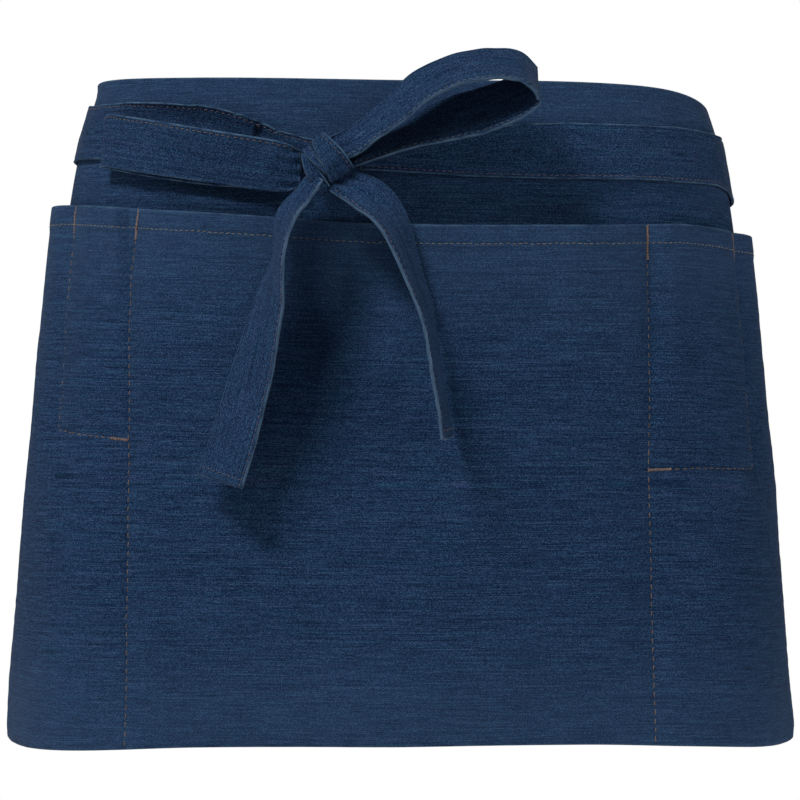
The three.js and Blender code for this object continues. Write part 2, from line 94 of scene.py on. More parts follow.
# Heights of the three long edges above their nominal levels, in shares of the sway, across half the panel.
edge_rows = table(
    "across top mouth hem",
    (-1.0, 0.1, 0.9, -0.4),
    (-0.83, 0.35, 1.15, -0.7),
    (-0.6, 0.5, 1.1, -0.6),
    (-0.33, 0.25, 0.5, -0.15),
    (0.0, 0.0, -0.15, 0.0),
    (0.3, 0.0, -0.15, 0.0),
    (0.47, -0.15, 0.0, -0.2),
    (0.65, -0.75, -0.25, -0.55),
    (0.83, -1.25, -0.3, -0.7),
    (1.0, -1.3, -0.3, -0.6),
)

# Folds and dents: centre and half sizes in shares of half the panel and of its height, tilt in degrees.
folds = table(
    "across down long wide tilt height",
    (-0.28, 0.182, 0.13, 0.012, -8, 0.6),
    (-0.27, 0.158, 0.12, 0.012, -8, -0.5),
    (0.27, 0.183, 0.12, 0.016, -3, -0.8),
    (0.52, 0.19, 0.09, 0.014, -4, 0.4),
    (-0.08, 0.33, 0.08, 0.088, 0, -3.2),
    (-0.077, 0.47, 0.04, 0.045, 0, -0.6),
    (0.005, 0.48, 0.03, 0.05, 0, -0.4),
    (0.19, 0.37, 0.05, 0.05, 0, -0.6),
    (0.32, 0.33, 0.04, 0.04, 0, -0.45),
)

level_step = 4
outline_turns = np.linspace(0, np.pi, 1441)
outlines = {}


def outline_of_level(level):
    """Half of the body's outline at one height, from the middle of the front: x, y and distance along."""
    if level not in outlines:
        row = between(body_sections, (panel_rise - level * level_step) / panel_height)
        sine, cosine = np.sin(outline_turns), np.cos(outline_turns)
        x = waist_half_width * row["width"] * np.abs(sine) ** (2 / outline_power)
        reach = np.sign(cosine) * np.abs(cosine) ** (2 / outline_power)
        y = waist_half_depth * (row["back"] - row["depth"] * reach)
        steps = np.hypot(np.diff(x), np.diff(y))
        outlines[level] = x, y, np.concatenate([[0], np.cumsum(steps)])
    return outlines[level]


def outline_point(s, z):
    """Points of the body's outline, s along it from the middle of the front and z up."""
    s, z = np.broadcast_arrays(np.asarray(s, float), np.asarray(z, float))
    level = np.floor(z / level_step).astype(int)
    share = z / level_step - level
    place = np.zeros(s.shape + (2,))
    for number in np.unique(level):
        here = level == number
        for extra, weight in ((0, 1 - share[here]), (1, share[here])):
            x, y, along = outline_of_level(number + extra)
            wrapped = (s[here] + along[-1]) % (2 * along[-1]) - along[-1]
            far = np.abs(wrapped)
            place[here, 0] += weight * np.interp(far, along, x) * np.sign(wrapped)
            place[here, 1] += weight * np.interp(far, along, y)
    return place


normal_step = 2


def outward(s, z):
    """The level direction out of the body's surface."""
    along = outline_point(s + normal_step, z) - outline_point(s - normal_step, z)
    along /= np.linalg.norm(along, axis=-1, keepdims=True)
    return np.stack([along[..., 1], -along[..., 0], np.zeros(along.shape[:-1])], -1)


def body_point(s, z, off):
    """A point off the body's surface: s along the outline, z up, and off outwards."""
    s, z, off = np.broadcast_arrays(np.asarray(s, float), np.asarray(z, float), np.asarray(off, float))
    here = np.concatenate([outline_point(s, z), z[..., None]], -1)
    return here + outward(s, z) * off[..., None]


def rumple(seed, x, y, length):
    """Soft unevenness of about unit height: cosines in many directions, that long from crest to crest."""
    draws = np.random.default_rng(seed).uniform(size=(24, 3))
    height = 0
    for turn, pace, phase in draws:
        angle = np.pi * turn
        wave = (x * np.cos(angle) + y * np.sin(angle)) * (0.6 + 0.9 * pace) / length
        height = height + np.cos(2 * np.pi * (wave + phase))
    return height / np.sqrt(len(draws) / 2)


rumple_height, rumple_length = 0.3, 70
crease_height, crease_length = 0.07, 16


def relief(s, z):
    """How far the folds, dents and waves of the cloth lift it off the body."""
    down = np.clip((panel_rise - z) / panel_height, 0, 1)
    across = s / half_panel
    height = wave_height * down**2 * np.cos(2 * np.pi * s / wave_length)
    for fold_across, fold_down, long, wide, tilt, share in zip(*folds.values()):
        turn = np.radians(tilt)
        dx = across - fold_across
        dz = (fold_down - (panel_rise - z) / panel_height) * panel_height / half_panel
        along = (dx * np.cos(turn) + dz * np.sin(turn)) / long
        beside = (dz * np.cos(turn) - dx * np.sin(turn)) / (wide * panel_height / half_panel)
        height = height + fold_height * share * np.exp(-along * along - beside * beside)
    loose = np.clip((down - 0.2) / 0.2, 0.15, 1)
    broad = rumple_height * rumple(3, s, z, rumple_length)
    fine = crease_height * rumple(4, s, 1.6 * z, crease_length)
    return height + loose * (broad + fine)


def cloth_point(s, z, off):
    return body_point(s, z, off + relief(s, z))


def edges_at(s):
    """Heights of the panel's top edge, the pocket's mouth and the hem."""
    row = between(edge_rows, s / half_panel)
    top = panel_rise + edge_sway * row["top"]
    mouth = pocket_height - panel_drop + edge_sway * row["mouth"]
    return top, mouth, edge_sway * row["hem"] - panel_drop


def rounded(depth, radius):
    """Half thickness, as a share, at a depth in from an edge that is rounded over that radius."""
    inside = np.clip(depth / radius, 0.02, 1)
    return np.sqrt(1 - (1 - inside) ** 2)


def crowd(length, step, *close):
    """Even places from 0 to a length, with closer ones by both ends and beside the places named."""
    near = np.array([0.03, 0.15, 0.4, 0.8])
    places = [np.linspace(0, length, round(length / step) + 1), near, length - near]
    for place in close:
        places.append(place + np.array([-1.6, -0.9, -0.4, 0, 0.4, 0.9, 1.6]))
    joined = np.unique(np.concatenate(places).round(3))
    joined = joined[(joined >= 0) & (joined <= length)]
    keep = np.append(True, np.diff(joined) > 0.08)
    return joined[keep]


def there_and_back(outer, inner):
    """Rings that run over the outer face and back over the inner one."""
    return np.concatenate([outer, inner[:, ::-1]], 1)


def loft(name, rings, cloth, material):
    """A closed mesh through rings of points in mm. Each end pairs its first point with its last, and so on.
    Cloth holds for each point its place along and across the cloth and its distance in from an edge."""
    count, size = rings.shape[:2]
    j = np.arange(size)
    k = (j + 1) % size
    base = size * np.arange(count - 1)[:, None]
    walls = np.stack([base + j, base + size + j, base + size + k, base + k], -1).reshape(-1, 4)
    half = np.arange(size // 2 - 1)
    start = np.stack([half, half + 1, size - 2 - half, size - 1 - half], -1)
    end = start[:, ::-1] + size * (count - 1)
    faces = np.concatenate([walls, start, end])
    points = rings.reshape(-1, 3)
    a, b, c, d = (points[faces[:, n]] for n in range(4))
    volume = np.sum(np.cross(c - a, d - b) * (a + b + c + d)) / 24
    if volume < 0:
        faces = faces[:, ::-1]
    return cloth_mesh(name, points, faces, cloth.reshape(-1, 3), material)


def cloth_mesh(name, points, faces, cloth, material):
    mesh = bpy.data.meshes.new(name)
    mesh.from_pydata((points * MM).tolist(), [], faces.tolist())
    mesh.polygons.foreach_set("use_smooth", np.ones(len(mesh.polygons), bool))
    mesh.attributes.new("cloth", "FLOAT_VECTOR", "POINT").data.foreach_set("vector", cloth.ravel())
    mesh.materials.append(material)
    piece = bpy.data.objects.new(name, mesh)
    bpy.context.scene.collection.objects.link(piece)
    return piece


def feed(tree, socket, value):
    """Links a socket to another node's output, or sets it to a value."""
    if isinstance(value, bpy.types.NodeSocket):
        tree.links.new(value, socket)
    else:
        socket.default_value = value


def node(tree, kind, settings=(), **inputs):
    """A shader node with its settings. Inputs are values or other nodes' outputs, by their sockets' names."""
    made = tree.nodes.new(kind)
    for name, value in dict(settings).items():
        setattr(made, name, value)
    for name, value in inputs.items():
        found = [i for i in made.inputs if i.name.replace(" ", "_") == name and i.enabled]
        feed(tree, found[0] if found else made.inputs[int(name.strip("_"))], value)
    return made


def arithmetic(tree, operation, a, b=0.0, c=0.0):
    return node(tree, "ShaderNodeMath", {"operation": operation}, _0=a, _1=b, _2=c).outputs[0]


def blended(tree, factor, a, b):
    mixed = node(tree, "ShaderNodeMix", {"data_type": "RGBA"}, Factor=factor)
    for socket, value in zip([i for i in mixed.inputs if i.type == "RGBA"], (a, b)):
        feed(tree, socket, value)
    return next(o for o in mixed.outputs if o.type == "RGBA")


def noise(tree, place, scale, detail=2.0):
    """Noise over the cloth, with so many cells to a millimetre along and across."""
    where = node(tree, "ShaderNodeVectorMath", {"operation": "MULTIPLY"}, _0=place, _1=scale).outputs[0]
    kind = {"noise_dimensions": "3D"}
    return node(tree, "ShaderNodeTexNoise", kind, Vector=where, Scale=1.0, Detail=detail).outputs[0]


def effect(name, colours, amounts, outputs):
    """An empty node group with named sockets. It takes a place on the cloth, colours and amounts."""
    tree = bpy.data.node_groups.new(name, "ShaderNodeTree")
    inputs = [("Cloth", "NodeSocketVector", (0, 0, 0))]
    inputs += [(colour, "NodeSocketColor", (0, 0, 0, 1)) for colour in colours.split()]
    inputs += [(amount, "NodeSocketFloat", 1.0) for amount in amounts.split()]
    for socket, kind, default in inputs:
        tree.interface.new_socket(socket, in_out="INPUT", socket_type=kind).default_value = default
    for socket, kind in outputs:
        tree.interface.new_socket(socket, in_out="OUTPUT", socket_type=kind)
    return tree, tree.nodes.new("NodeGroupInput").outputs, tree.nodes.new("NodeGroupOutput").inputs


def denim_weave():
    """Indigo twill: uneven slub threads along the cloth, flecks of the pale cross thread in diagonal rows,
    and a dye that is uneven from place to place."""
    outputs = [("Color", "NodeSocketColor"), ("Height", "NodeSocketFloat")]
    tree, given, out = effect("denim_weave", "Deep Middle Pale", "Slub Fleck", outputs)
    place = given["Cloth"]

    def uneven(scale, gain, detail=2.0):
        return arithmetic(tree, "MULTIPLY_ADD", noise(tree, place, scale, detail), gain, -gain / 2)

    long_slub = uneven((0.06, 1.15, 0), 1.5)
    short_slub = uneven((0.16, 1.9, 3.7), 1.35)
    fleck_noise = uneven((1.35, 1.9, 1.1), 3.9, 1.0)
    split = node(tree, "ShaderNodeSeparateXYZ", Vector=place).outputs
    twill_pitch = 1.15
    diagonal = arithmetic(tree, "MULTIPLY_ADD", split[1], 0.8, split[0])
    waver = arithmetic(tree, "MULTIPLY_ADD", noise(tree, place, (0.2, 0.5, 2.2), 1.0), 2.0, diagonal)
    twill = arithmetic(tree, "SINE", arithmetic(tree, "MULTIPLY", waver, 2 * np.pi / twill_pitch))
    thread = arithmetic(tree, "SINE", arithmetic(tree, "MULTIPLY", split[1], 2 * np.pi / 0.95))
    slub = arithmetic(tree, "MULTIPLY", arithmetic(tree, "ADD", long_slub, short_slub), given["Slub"])
    twill_row = arithmetic(tree, "MULTIPLY_ADD", twill, 0.2, fleck_noise)
    fleck = arithmetic(tree, "MULTIPLY", twill_row, given["Fleck"])
    patch = uneven((0.022, 0.04, 5.1), 2.7, 4.0)
    shade = arithmetic(tree, "ADD", slub, arithmetic(tree, "ADD", fleck, patch))
    pale_share = arithmetic(tree, "MULTIPLY_ADD", shade, 0.5, 0.5)
    dark_half = arithmetic(tree, "MULTIPLY", pale_share, 2.0)
    pale_half = arithmetic(tree, "MULTIPLY_ADD", pale_share, 2.0, -1.0)
    lower = blended(tree, dark_half, given["Deep"], given["Middle"])
    dyed = blended(tree, pale_half, lower, given["Pale"])
    cast = arithmetic(tree, "MULTIPLY_ADD", noise(tree, place, (0.03, 0.06, 7.3), 3.0), 4.5, -1.75)
    tint = blended(tree, cast, (1.12, 0.95, 1.02, 1), (0.68, 1.06, 0.98, 1))
    multiplied = node(tree, "ShaderNodeVectorMath", {"operation": "MULTIPLY"}, _0=dyed, _1=tint)
    tree.links.new(multiplied.outputs[0], out["Color"])
    rough = arithmetic(tree, "MULTIPLY_ADD", thread, 0.35, arithmetic(tree, "MULTIPLY", twill, 0.5))
    height = arithmetic(tree, "ADD", rough, arithmetic(tree, "ADD", slub, fleck))
    tree.links.new(height, out["Height"])
    return tree


def worn_edge():
    """A mask that fades in from an edge, broken up along its length: the edges' wear and painted highlight,
    and the paler band inside them that is partly wash and partly painted light.
    """
    tree, given, out = effect("worn_edge", "", "Width Amount Broken", [("Mask", "NodeSocketFloat")])
    split = node(tree, "ShaderNodeSeparateXYZ", Vector=given["Cloth"]).outputs
    depth = arithmetic(tree, "DIVIDE", split[2], given["Width"])
    squared = arithmetic(tree, "POWER", depth, 2.0)
    falloff = arithmetic(tree, "EXPONENT", arithmetic(tree, "MULTIPLY", squared, -1.0))
    centred = arithmetic(tree, "SUBTRACT", noise(tree, given["Cloth"], (0.11, 0.11, 0), 3.0), 0.5)
    patchy = arithmetic(tree, "MULTIPLY_ADD", centred, given["Broken"], 0.55)
    rubbed_and_highlit = arithmetic(tree, "MULTIPLY", falloff, arithmetic(tree, "MULTIPLY", patchy, given["Amount"]))
    tree.links.new(node(tree, "ShaderNodeClamp", Value=rubbed_and_highlit).outputs[0], out["Mask"])
    return tree


weave_effect = denim_weave()
edge_effect = worn_edge()


def denim(name, deep, middle, pale, edge, edge_width, slub=1.0, fleck=1.0, paler_band_width=1.0, wash_and_painted_light=0.0):
    """A denim material: the weave, made paler over a width inside its edges, partly by wash and partly by
    painted light on the top and hem, and pale on the edges, partly from wear and partly painted highlight.
    """
    material = bpy.data.materials.new(name)
    material.use_nodes = True
    tree = material.node_tree
    surface = tree.nodes["Principled BSDF"]
    place = node(tree, "ShaderNodeAttribute", {"attribute_name": "cloth"}).outputs["Vector"]
    woven = node(tree, "ShaderNodeGroup", {"node_tree": weave_effect})
    rubbed_and_highlit = node(tree, "ShaderNodeGroup", {"node_tree": edge_effect})
    wash_and_light_band = node(tree, "ShaderNodeGroup", {"node_tree": edge_effect})
    for group in (woven, rubbed_and_highlit, wash_and_light_band):
        tree.links.new(place, group.inputs["Cloth"])
    amounts = {"Deep": deep, "Middle": middle, "Pale": pale, "Slub": slub, "Fleck": fleck}
    for socket, value in amounts.items():
        woven.inputs[socket].default_value = value
    rubbed_and_highlit.inputs["Width"].default_value = edge_width
    wash_and_light_band.inputs["Width"].default_value = paler_band_width
    wash_and_light_band.inputs["Amount"].default_value = wash_and_painted_light
    wash_and_light_band.inputs["Broken"].default_value = 0.6
    rubbed_and_highlit.inputs["Broken"].default_value = 4.0
    # Paler band inside the edges: partly wash, partly painted light for the brighter top and hem.
    colour = blended(tree, wash_and_light_band.outputs["Mask"], woven.outputs["Color"], pale)
    # Pale edge line: partly rubbed wear, partly painted highlight.
    colour = blended(tree, rubbed_and_highlit.outputs["Mask"], colour, edge)
    tree.links.new(colour, surface.inputs["Base Color"])
    bump = node(tree, "ShaderNodeBump", Strength=0.35, Distance=0.12 * MM, Height=woven.outputs["Height"])
    tree.links.new(bump.outputs[0], surface.inputs["Normal"])
    surface.inputs["Roughness"].default_value = 0.92
    surface.inputs["Specular IOR Level"].default_value = 0.08
    surface.inputs["Sheen Weight"].default_value = 0.02
    surface.inputs["Sheen Roughness"].default_value = 0.5
    return material


panel_denim = denim(
    "panel_denim",
    deep=(0.002, 0.0078, 0.026, 1),
    middle=(0.0102, 0.0288, 0.079, 1),
    pale=(0.043, 0.088, 0.178, 1),
    # edge is a pale line on every edge, partly wear and partly painted highlight.
    edge=(0.05, 0.1, 0.17, 1),
    edge_width=0.7,
    # the paler band inside the edges is partly wash and partly painted light on the top and hem.
    paler_band_width=42,
    wash_and_painted_light=0.45,
)

step_across, step_down = 3.2, 3.0
inner_weave_shift = 400
panel_across = crowd(2 * half_panel, step_across) - half_panel
panel_top, _, panel_hem = edges_at(panel_across)
panel_rows = crowd(panel_height, step_down)
panel_share = panel_rows / panel_height
panel_s = panel_across[:, None]
panel_z = panel_top[:, None] * (1 - panel_share) + panel_hem[:, None] * panel_share
panel_depth_in = np.minimum(
    np.minimum(panel_rows, panel_height - panel_rows)[None],
    (half_panel - np.abs(panel_across))[:, None],
)
panel_half = cloth_thickness / 2 * rounded(panel_depth_in, cloth_thickness / 2)
panel_faces = [cloth_point(panel_s, panel_z, side * panel_half - cloth_thickness / 2) for side in (1, -1)]
panel_down = panel_rise - panel_z
panel_cloth = [
    np.stack([panel_s + 0 * panel_down + shift, panel_down + shift, panel_depth_in], -1)
    for shift in (0, inner_weave_shift)
]
panel = loft(
    "panel_cloth",
    there_and_back(*panel_faces),
    there_and_back(*panel_cloth),
    panel_denim,
)
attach(panel, "root")
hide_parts("apron_panel")

# The pocket layer is a second piece of the same denim over the lower part of the panel. It is sewn to it down
# both sides, along the hem and on four lines that divide it into compartments. Its mouth has a narrow hem.
mouth_hem = 10.4
mouth_stitch = 9
pocket_stand = 9
stand_at_hem = 0.25
seam_pinch = 12
clearance = 0.4

# Lines of sewing over the pocket layer, through places along it and down from its mouth.
left_centre_seam = [(-127.5, 0), (-131.7, 30), (-132.2, 65), (-131, 106), (-131, pocket_height)]
right_centre_seam = [(119.5, 0), (120.2, 60), (119, 116.5), (121.5, pocket_height)]
left_side_seam = [(-177, 0), (-181.5, 47), (-181, 102.6), (-131, 106)]
right_side_seam = [(185.5, 0), (191, 53), (192, 113.7), (119, 116.5)]
outer_seam = [(-half_panel, 0), (-half_panel, pocket_height), (half_panel, pocket_height), (half_panel, 0)]
seams = [left_centre_seam, right_centre_seam, left_side_seam, right_side_seam, outer_seam]


def distance_to(seam, s, below):
    """The distance to the nearest of a seam's straight lengths."""
    nearest = np.inf
    for (from_s, from_below), (to_s, to_below) in zip(seam[:-1], seam[1:]):
        ds, db = to_s - from_s, to_below - from_below
        t = np.clip(((s - from_s) * ds + (below - from_below) * db) / (ds * ds + db * db), 0, 1)
        nearest = np.minimum(nearest, np.hypot(s - from_s - t * ds, below - from_below - t * db))
    return nearest


# Puckers beside the seams, a pleat by the left one, and the places where the layer lies closer to the panel:
# on the side pockets, past the flanks, and where the knot and its ends press on it.
pucker_pitch, pucker_height, pucker_reach, pucker_start = 7.5, 0.35, 5, 1.5
pleat_place, pleat_reach, pleat_height = -128.5, 34, 2.6
side_pocket_middle, side_pocket_half, side_pocket_deep, side_pocket_press = 160, 26, 125, 0.7
flank_place, flank_fade = 186, 8
knot_press_place, knot_press_wide, knot_press_deep, knot_press = -25, 38, 75, 0.85


def pocket_stand_at(s, below):
    """How far the pocket layer stands off the panel: most at the mouth, and least at each seam, where the
    pull of the thread puckers it. Beside the left seam it has a short pleat below the mouth."""
    share = np.clip(below / pocket_height, 0, 1)
    side_pocket = np.exp(-(((np.abs(s) - side_pocket_middle) / side_pocket_half) ** 4))
    side_pocket = side_pocket * np.exp(-((below / side_pocket_deep) ** 6))
    stand = pocket_stand * (1 + (stand_at_hem - 1) * share) * (1 - side_pocket_press * side_pocket)
    stand = stand * (0.9 - 0.1 * np.tanh((np.abs(s) - flank_place) / flank_fade))
    puckers = 0
    for number, seam in enumerate(seams):
        away = distance_to(seam, s, below)
        stand = stand * (1 - np.exp(-away / seam_pinch))
        along = s + below
        beat = np.cos(2 * np.pi * along / pucker_pitch + 1.5 * rumple(20 + number, along, 0 * along, 60))
        near = np.exp(-away / pucker_reach) * (1 - np.exp(-away / pucker_start))
        puckers = puckers + pucker_height * (1 + beat) * near
    fade = np.exp(-((below / pleat_reach) ** 2))
    beside = s - pleat_place
    ridge = pleat_height * np.exp(-(((beside + 10) / 3.2) ** 2)) * fade
    groove = 1 - 0.75 * np.exp(-(((beside + 4) / 2.6) ** 2)) * fade
    from_press = ((s - knot_press_place) / knot_press_wide) ** 2
    pressed = 1 - knot_press * np.exp(-from_press - (below / knot_press_deep) ** 2)
    return clearance + stand * groove * pressed + ridge + puckers


def pocket_level(s, below):
    """The height of a place on the pocket layer, from its distance below the mouth."""
    _, mouth, hem = edges_at(s)
    return mouth + (hem - mouth) * below / pocket_height


hem_fold_height = 0.55
mouth_stitch_pull = 0.3
weave_across, weave_down = 1300, 900


def pocket_face(s, below, side):
    """Points of the pocket layer's outer face (1) or inner face (-1), below its mouth."""
    z = pocket_level(s, below)
    edge_depth = np.minimum(np.minimum(below, pocket_height - below), half_panel - np.abs(s))
    hemmed = hem_fold_height / (1 + np.exp((below - mouth_hem) / 0.5))
    hemmed = hemmed - mouth_stitch_pull * np.exp(-(((below - mouth_stitch) / 0.8) ** 2))
    whole = cloth_thickness + hemmed
    off = pocket_stand_at(s, below) + whole * (1 + side * rounded(edge_depth, cloth_thickness / 2)) / 2
    woven = np.stack([s + 0 * z + weave_across, panel_rise - z + weave_down * side, edge_depth], -1)
    return cloth_point(s, z, off), woven


pocket_step = 2.6
pocket_seam_places = [half_panel + s for s in (-179, -131, 120, 190)]
side_pocket_floors = (104, 115)
pocket_s = (crowd(2 * half_panel, pocket_step, *pocket_seam_places) - half_panel)[:, None]
pocket_below = crowd(pocket_height, pocket_step, mouth_stitch, mouth_hem, *side_pocket_floors)[None]
pocket_outer, pocket_outer_cloth = pocket_face(pocket_s, pocket_below, 1)
pocket_inner, pocket_inner_cloth = pocket_face(pocket_s, pocket_below, -1)
pocket = loft(
    "pocket_cloth",
    there_and_back(pocket_outer, pocket_inner),
    there_and_back(pocket_outer_cloth, pocket_inner_cloth),
    panel_denim,
)
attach(pocket, "root")
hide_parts("pocket_panel")

# The seams are single rows of lockstitch in cotton thread: brown on the pocket's dividing lines, pale along
# its mouth, and navy in a faint box on the panel. Short tan bar tacks of close satin stitch hold the tops of
# the dividing lines and the inner ends of the side pockets' floors.
stitch_pitch = 4.2
stitch_length = 3.1
thread_radius = 0.3
thread_sides = 6
thread_twist = 14.0
dye_variation = 0.35


def thread(name, colour):
    """Cotton thread: a twist along it, and a dye that varies from stitch to stitch."""
    material = bpy.data.materials.new(name)
    material.use_nodes = True
    tree = material.node_tree
    surface = tree.nodes["Principled BSDF"]
    place = node(tree, "ShaderNodeAttribute", {"attribute_name": "cloth"}).outputs["Vector"]
    uneven = noise(tree, place, (0.25, 0.25, 0.25), 2.0)
    worn = arithmetic(tree, "MULTIPLY_ADD", uneven, 2.0, -0.5)
    dark = tuple(c * (1 - dye_variation) for c in colour) + (1,)
    pale = tuple(c * (1 + dye_variation) for c in colour) + (1,)
    tree.links.new(blended(tree, worn, dark, pale), surface.inputs["Base Color"])
    split = node(tree, "ShaderNodeSeparateXYZ", Vector=place).outputs
    spiral = arithmetic(tree, "ADD", split[0], split[1])
    twist = arithmetic(tree, "SINE", arithmetic(tree, "MULTIPLY", spiral, thread_twist))
    bump = node(tree, "ShaderNodeBump", Strength=0.5, Distance=0.06 * MM, Height=twist)
    tree.links.new(bump.outputs[0], surface.inputs["Normal"])
    surface.inputs["Roughness"].default_value = 0.75
    surface.inputs["Specular IOR Level"].default_value = 0.25
    return material


def lengths_of(points):
    steps = np.linalg.norm(np.diff(points, axis=0), axis=1)
    return np.concatenate([[0], np.cumsum(steps)])


def unit(vectors):
    return vectors / np.maximum(np.linalg.norm(vectors, axis=-1, keepdims=True), 1e-9)


def stitches(
    name, rows, material, slot, seed, pitch=stitch_pitch, length=stitch_length, radius=thread_radius
):
    """Rows of stitches as one mesh. Each row is a line of points on the cloth and the directions out of it.
    A stitch is a short round thread that rises out of the cloth, bows over it and dips back in."""
    draw = np.random.default_rng(seed)
    bow = np.array([-1, -0.8, -0.35, 0.35, 0.8, 1])
    girth = np.array([0.45, 0.85, 1, 1, 0.85, 0.45])
    rise = np.array([-1.1, -0.2, 0.55, 0.55, -0.2, -1.1])
    all_points, all_cloth = [], []
    for points, normals in rows:
        along = lengths_of(points)
        count = max(int(along[-1] / pitch), 1)
        middle = (np.arange(count) + 0.5) * along[-1] / count + draw.normal(0, 0.12, count)
        half = length / 2 * (1 + draw.normal(0, 0.05, count))
        place = middle[:, None] + half[:, None] * bow
        centre = np.stack([np.interp(place, along, points[:, n]) for n in range(3)], -1)
        up = unit(np.stack([np.interp(place, along, normals[:, n]) for n in range(3)], -1))
        ahead = unit(centre[:, -1] - centre[:, 0])[:, None]
        side = unit(np.cross(ahead, up))
        sway = draw.normal(0, 0.1, (count, 1, 1)) + bow[None, :, None] * draw.normal(0, 0.12, (count, 1, 1))
        centre = centre + up * radius * rise[None, :, None] + side * sway
        angle = 2 * np.pi * np.arange(thread_sides) / thread_sides
        ring = radius * girth[None, :, None, None]
        spin = up[:, :, None] * np.cos(angle)[:, None] + side[:, :, None] * np.sin(angle)[:, None]
        all_points.append((centre[:, :, None] + ring * spin).reshape(count, -1, 3))
        around = np.broadcast_to(angle * radius, (count, len(bow), thread_sides))
        run = np.broadcast_to(place[:, :, None], around.shape)
        deep = np.broadcast_to(seed + draw.uniform(0, 50, (count, 1, 1)), around.shape)
        all_cloth.append(np.stack([run, around, deep], -1).reshape(count, -1, 3))
    points = np.concatenate(all_points)
    j = np.arange(thread_sides)
    k = (j + 1) % thread_sides
    base = thread_sides * np.arange(len(bow) - 1)[:, None]
    corners = [base + j, base + k, base + thread_sides + k, base + thread_sides + j]
    quads = np.stack(corners, -1).reshape(-1, 4)
    last = thread_sides * (len(bow) - 1)
    caps = [[0, 5, 4, 3], [0, 3, 2, 1]]
    caps += [[last, last + 1, last + 2, last + 3], [last, last + 3, last + 4, last + 5]]
    one = np.concatenate([quads, caps])
    faces = (one + points.shape[1] * np.arange(len(points))[:, None, None]).reshape(-1, 4)
    piece = cloth_mesh(name, points.reshape(-1, 3), faces, np.concatenate(all_cloth).reshape(-1, 3), material)
    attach(piece, "root")


def along_seam(seam, places):
    """Places at distances along a seam, and the directions across it."""
    corners = np.array(seam, float)
    reach = lengths_of(corners)
    point = np.stack([np.interp(places, reach, corners[:, n]) for n in range(2)], -1)
    length = np.clip(np.searchsorted(reach, places) - 1, 0, len(corners) - 2)
    ahead = unit(np.diff(corners, axis=0))[length]
    return point, np.stack([-ahead[:, 1], ahead[:, 0]], -1)


def pocket_row(seam, side=1, margin=0.0):
    """A seam's line on the pocket's outer face, or on the panel's inner face."""
    reach = lengths_of(np.array(seam, float))[-1]
    s, below = along_seam(seam, np.linspace(margin, reach - margin, max(int(reach), 2)))[0].T
    z = pocket_level(s, below)
    points = pocket_face(s, below, 1)[0] if side > 0 else cloth_point(s, z, -cloth_thickness)
    return points, side * outward(s, z)


brown_thread = thread("brown_thread", (0.15, 0.116, 0.102))
tan_thread = thread("tan_thread", (0.225, 0.165, 0.148))
pale_thread = thread("pale_thread", (0.17, 0.165, 0.155))
grey_thread = thread("grey_thread", (0.115, 0.14, 0.175))
mauve_thread = thread("mauve_thread", (0.12, 0.1, 0.125))
navy_thread = thread("navy_thread", (0.035, 0.06, 0.12))

row_margin = 1.0
mouth_end = half_panel - 5
mouth_row = pocket_row([(-mouth_end, mouth_stitch), (mouth_end, mouth_stitch)])
stitches("mouth_hem_stitches", [mouth_row], pale_thread, "denim", 31, pitch=2.9, length=2.0, radius=0.25)
centre_rows = [pocket_row(seam, margin=row_margin) for seam in seams[:2]]
stitches("centre_pocket_stitches", centre_rows, brown_thread, "denim", 32)
side_rows = [pocket_row(seam, margin=row_margin) for seam in seams[2:4]]
stitches("side_pocket_stitches", side_rows, brown_thread, "denim", 33)
inner_rows = [pocket_row(seam, -1, row_margin) for seam in seams[:4]]
stitches("inner_face_stitches", inner_rows, brown_thread, "denim", 34)

tack_width = 1.5
tack_pitch = 0.5


def bar_tack(seam, start, end):
    """A row of close short stitches across a seam's line, between distances along it."""
    rows = []
    for place, across in zip(*along_seam(seam, np.arange(start, end, tack_pitch))):
        rows.append(pocket_row([place - across * tack_width / 2, place + across * tack_width / 2]))
    return rows


tack_start = 0.8
tack_sewing = dict(pitch=tack_width, length=tack_width)
tacks = bar_tack(left_centre_seam, tack_start, 14.5) + bar_tack(right_centre_seam, tack_start, 17)
stitches("centre_bar_tacks", tacks, tan_thread, "denim", 35, radius=0.28, **tack_sewing)
tacks = bar_tack(left_side_seam, tack_start, 13) + bar_tack(right_side_seam, tack_start, 14)
for floor_line, tack_length in ((left_side_seam[2:], 10), (right_side_seam[2:], 12)):
    floor_reach = lengths_of(np.array(floor_line))[-1]
    tacks += bar_tack(floor_line, floor_reach - tack_length, floor_reach)
stitches("side_bar_tacks", tacks, tan_thread, "denim", 36, radius=0.24, **tack_sewing)


def panel_row(start, end):
    """A line on the panel's outer face between two (s, z) places."""
    s, z = (np.linspace(a, b, 30) for a, b in zip(start, end))
    return cloth_point(s, z, 0), outward(s, z)


box_from, box_to, box_top, box_bottom = 131, 153, 16, 4
box_rows = [
    panel_row((box_from, box_top), (box_to, box_top)),
    panel_row((box_to, box_top), (box_to, box_bottom)),
    panel_row((box_from, box_top), (box_from, box_bottom)),
]
stitches("panel_box_stitches", box_rows, navy_thread, "denim", 37, pitch=3.2, length=2.3, radius=0.24)

# The ties are straps of the same denim folded in four and topstitched near one edge. Each is sewn inside a
# corner of the panel, crosses the other behind the back and comes round to the knot in front.
tie_width = 27
tie_thickness = 1.8
cad_tie_thickness = 2.4
edge_stitch = 1.7
tie_sewing = dict(pitch=3.0, length=2.1, radius=0.22)
strap_wave, strap_wave_length = 0.16, 34
strap_crease, strap_crease_length = 0.07, 11
gather_pitch, gather_reach = 5.5, 11
stitch_dent, stitch_dent_width = 0.3, 0.7

